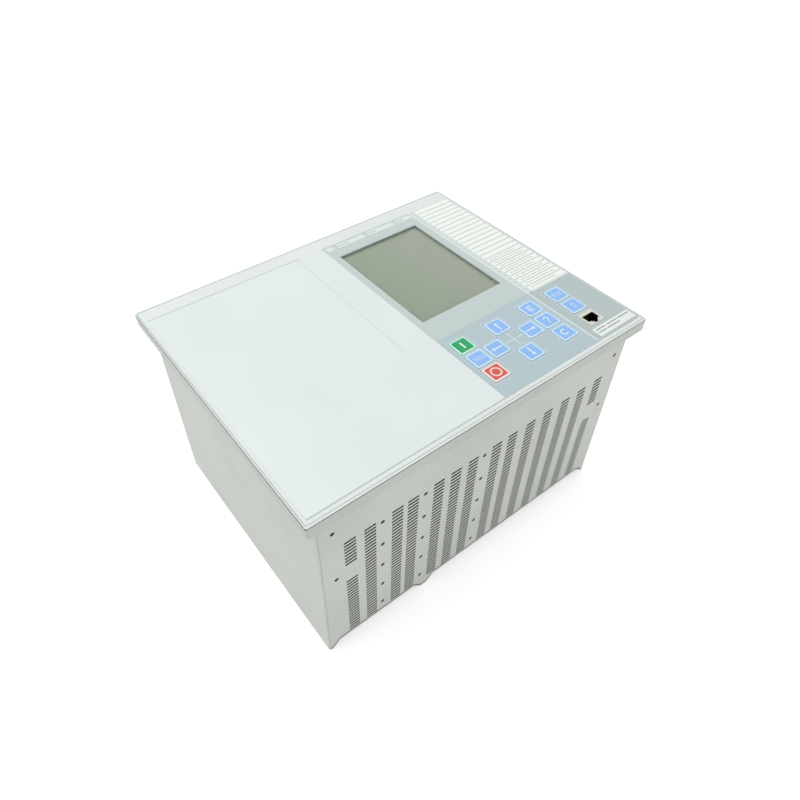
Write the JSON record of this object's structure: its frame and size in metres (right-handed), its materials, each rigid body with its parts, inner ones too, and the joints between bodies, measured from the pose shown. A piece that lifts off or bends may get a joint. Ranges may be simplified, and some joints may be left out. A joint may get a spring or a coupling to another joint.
{
  "type": "protection relay",
  "caption": "Numerical protection relay for power lines and substations in a flush-mounting metal case, with display, indication lamps, push keys, front network socket and rear terminals.",
  "frame": {"origin": "middle of the rear edges that the relay lies on, under the middle of the front frame", "axes": "+Z out of the front plate, +X to the right and +Y to the top as seen from the front"},
  "size_m": [0.336, 0.2658, 0.2017],
  "materials": {
    "frame_paint": "semi-matt powder coat, light grey",
    "case_sheet": "fine structured grey coat on steel sheet",
    "plate_paint": "smooth semi-matt light grey paint",
    "blank_foil": "fine matt polyester foil, very light grey",
    "operator_foil": "fine matt polyester foil, printed blue grey",
    "pane": "clear pane with a faint green tint",
    "display": "unlit grey green display",
    "display_metal": "tinned sheet",
    "label_card": "white card with thin grey rules",
    "lens": "frosted clear lens, unlit",
    "board": "green solder resist",
    "black_plastic": "moulded black plastic",
    "carrier_plastic": "moulded grey plastic",
    "key_blue": "matt printed key, light blue with a pale border",
    "key_green": "matt printed key, green with a pale border",
    "key_red": "matt printed key, red with a pale border",
    "socket_ivory": "ivory moulded plastic",
    "contact": "gold plated spring contacts",
    "gasket": "black foam rubber",
    "zinc": "zinc plated steel",
    "dark_screw": "black zinc plated steel",
    "aluminium": "bare aluminium sheet",
    "guide_plastic": "natural nylon",
    "terminal_green": "moulded green plastic",
    "core_steel": "stacked electrical sheet",
    "coil": "enamelled copper wire under yellow tape",
    "earth_brass": "nickel free brass"
  },
  "bodies": {
    "case": {"front_frame": "frame_paint", "plate_gasket": "gasket", "front_plate": "plate_paint", "blank_foil": "blank_foil", "operator_foil": "operator_foil", "display_pane": "pane", "display_panel": "display", "display_frame": "display_metal", "label_card": "label_card", "status_lamps": "lens", "indication_lamps": "lens", "operator_board": "board", "key_switches": "black_plastic", "operator_carrier": "carrier_plastic", "carrier_nuts": "zinc", "network_socket": "socket_ivory", "socket_contacts": "contact", "left_wall": "case_sheet", "right_wall": "case_sheet", "bottom_sheet": "case_sheet", "top_sheet": "case_sheet", "partition_left": "aluminium", "partition_middle": "aluminium", "partition_right": "aluminium", "sheet_screws": "dark_screw", "bottom_card_guides": "guide_plastic", "top_card_guides": "guide_plastic", "backplane_board": "board", "backplane_connectors": "black_plastic", "power_board": "board", "power_plate": "aluminium", "processor_board": "board", "processor_plate": "aluminium", "optical_ports": "black_plastic", "io_boards": "board", "io_plates": "aluminium", "blank_plates": "aluminium", "pin_headers": "black_plastic", "terminal_plugs": "terminal_green", "transformer_plates": "aluminium", "transformer_boards": "board", "transformer_cores": "core_steel", "transformer_coils": "coil", "current_terminals": "black_plastic", "terminal_screws": "zinc", "earth_screw": "earth_brass", "rear_screws": "zinc"},
    "key_on_body": {"key_on": "key_green"},
    "key_menu_body": {"key_menu": "key_blue"},
    "key_off_body": {"key_off": "key_red"},
    "key_left_body": {"key_left": "key_blue"},
    "key_up_body": {"key_up": "key_blue"},
    "key_down_body": {"key_down": "key_blue"},
    "key_right_body": {"key_right": "key_blue"},
    "key_enter_body": {"key_enter": "key_blue"},
    "key_help_body": {"key_help": "key_blue"},
    "key_cancel_body": {"key_cancel": "key_blue"},
    "key_clear_lamps_body": {"key_clear_lamps": "key_blue"},
    "key_local_remote_body": {"key_local_remote": "key_blue"}
  },
  "joints": [
    {"name": "key_on_press", "type": "slide", "parent": "case", "child": "key_on_body", "axis": [0, 0, -1], "range_m": [0, 0.0006], "stiffness_N_per_m": 900},
    {"name": "key_menu_press", "type": "slide", "parent": "case", "child": "key_menu_body", "axis": [0, 0, -1], "range_m": [0, 0.0006], "stiffness_N_per_m": 900},
    {"name": "key_off_press", "type": "slide", "parent": "case", "child": "key_off_body", "axis": [0, 0, -1], "range_m": [0, 0.0006], "stiffness_N_per_m": 900},
    {"name": "key_left_press", "type": "slide", "parent": "case", "child": "key_left_body", "axis": [0, 0, -1], "range_m": [0, 0.0006], "stiffness_N_per_m": 900},
    {"name": "key_up_press", "type": "slide", "parent": "case", "child": "key_up_body", "axis": [0, 0, -1], "range_m": [0, 0.0006], "stiffness_N_per_m": 900},
    {"name": "key_down_press", "type": "slide", "parent": "case", "child": "key_down_body", "axis": [0, 0, -1], "range_m": [0, 0.0006], "stiffness_N_per_m": 900},
    {"name": "key_right_press", "type": "slide", "parent": "case", "child": "key_right_body", "axis": [0, 0, -1], "range_m": [0, 0.0006], "stiffness_N_per_m": 900},
    {"name": "key_enter_press", "type": "slide", "parent": "case", "child": "key_enter_body", "axis": [0, 0, -1], "range_m": [0, 0.0006], "stiffness_N_per_m": 900},
    {"name": "key_help_press", "type": "slide", "parent": "case", "child": "key_help_body", "axis": [0, 0, -1], "range_m": [0, 0.0006], "stiffness_N_per_m": 900},
    {"name": "key_cancel_press", "type": "slide", "parent": "case", "child": "key_cancel_body", "axis": [0, 0, -1], "range_m": [0, 0.0006], "stiffness_N_per_m": 900},
    {"name": "key_clear_lamps_press", "type": "slide", "parent": "case", "child": "key_clear_lamps_body", "axis": [0, 0, -1], "range_m": [0, 0.0006], "stiffness_N_per_m": 900},
    {"name": "key_local_remote_press", "type": "slide", "parent": "case", "child": "key_local_remote_body", "axis": [0, 0, -1], "range_m": [0, 0.0006], "stiffness_N_per_m": 900}
  ]
}
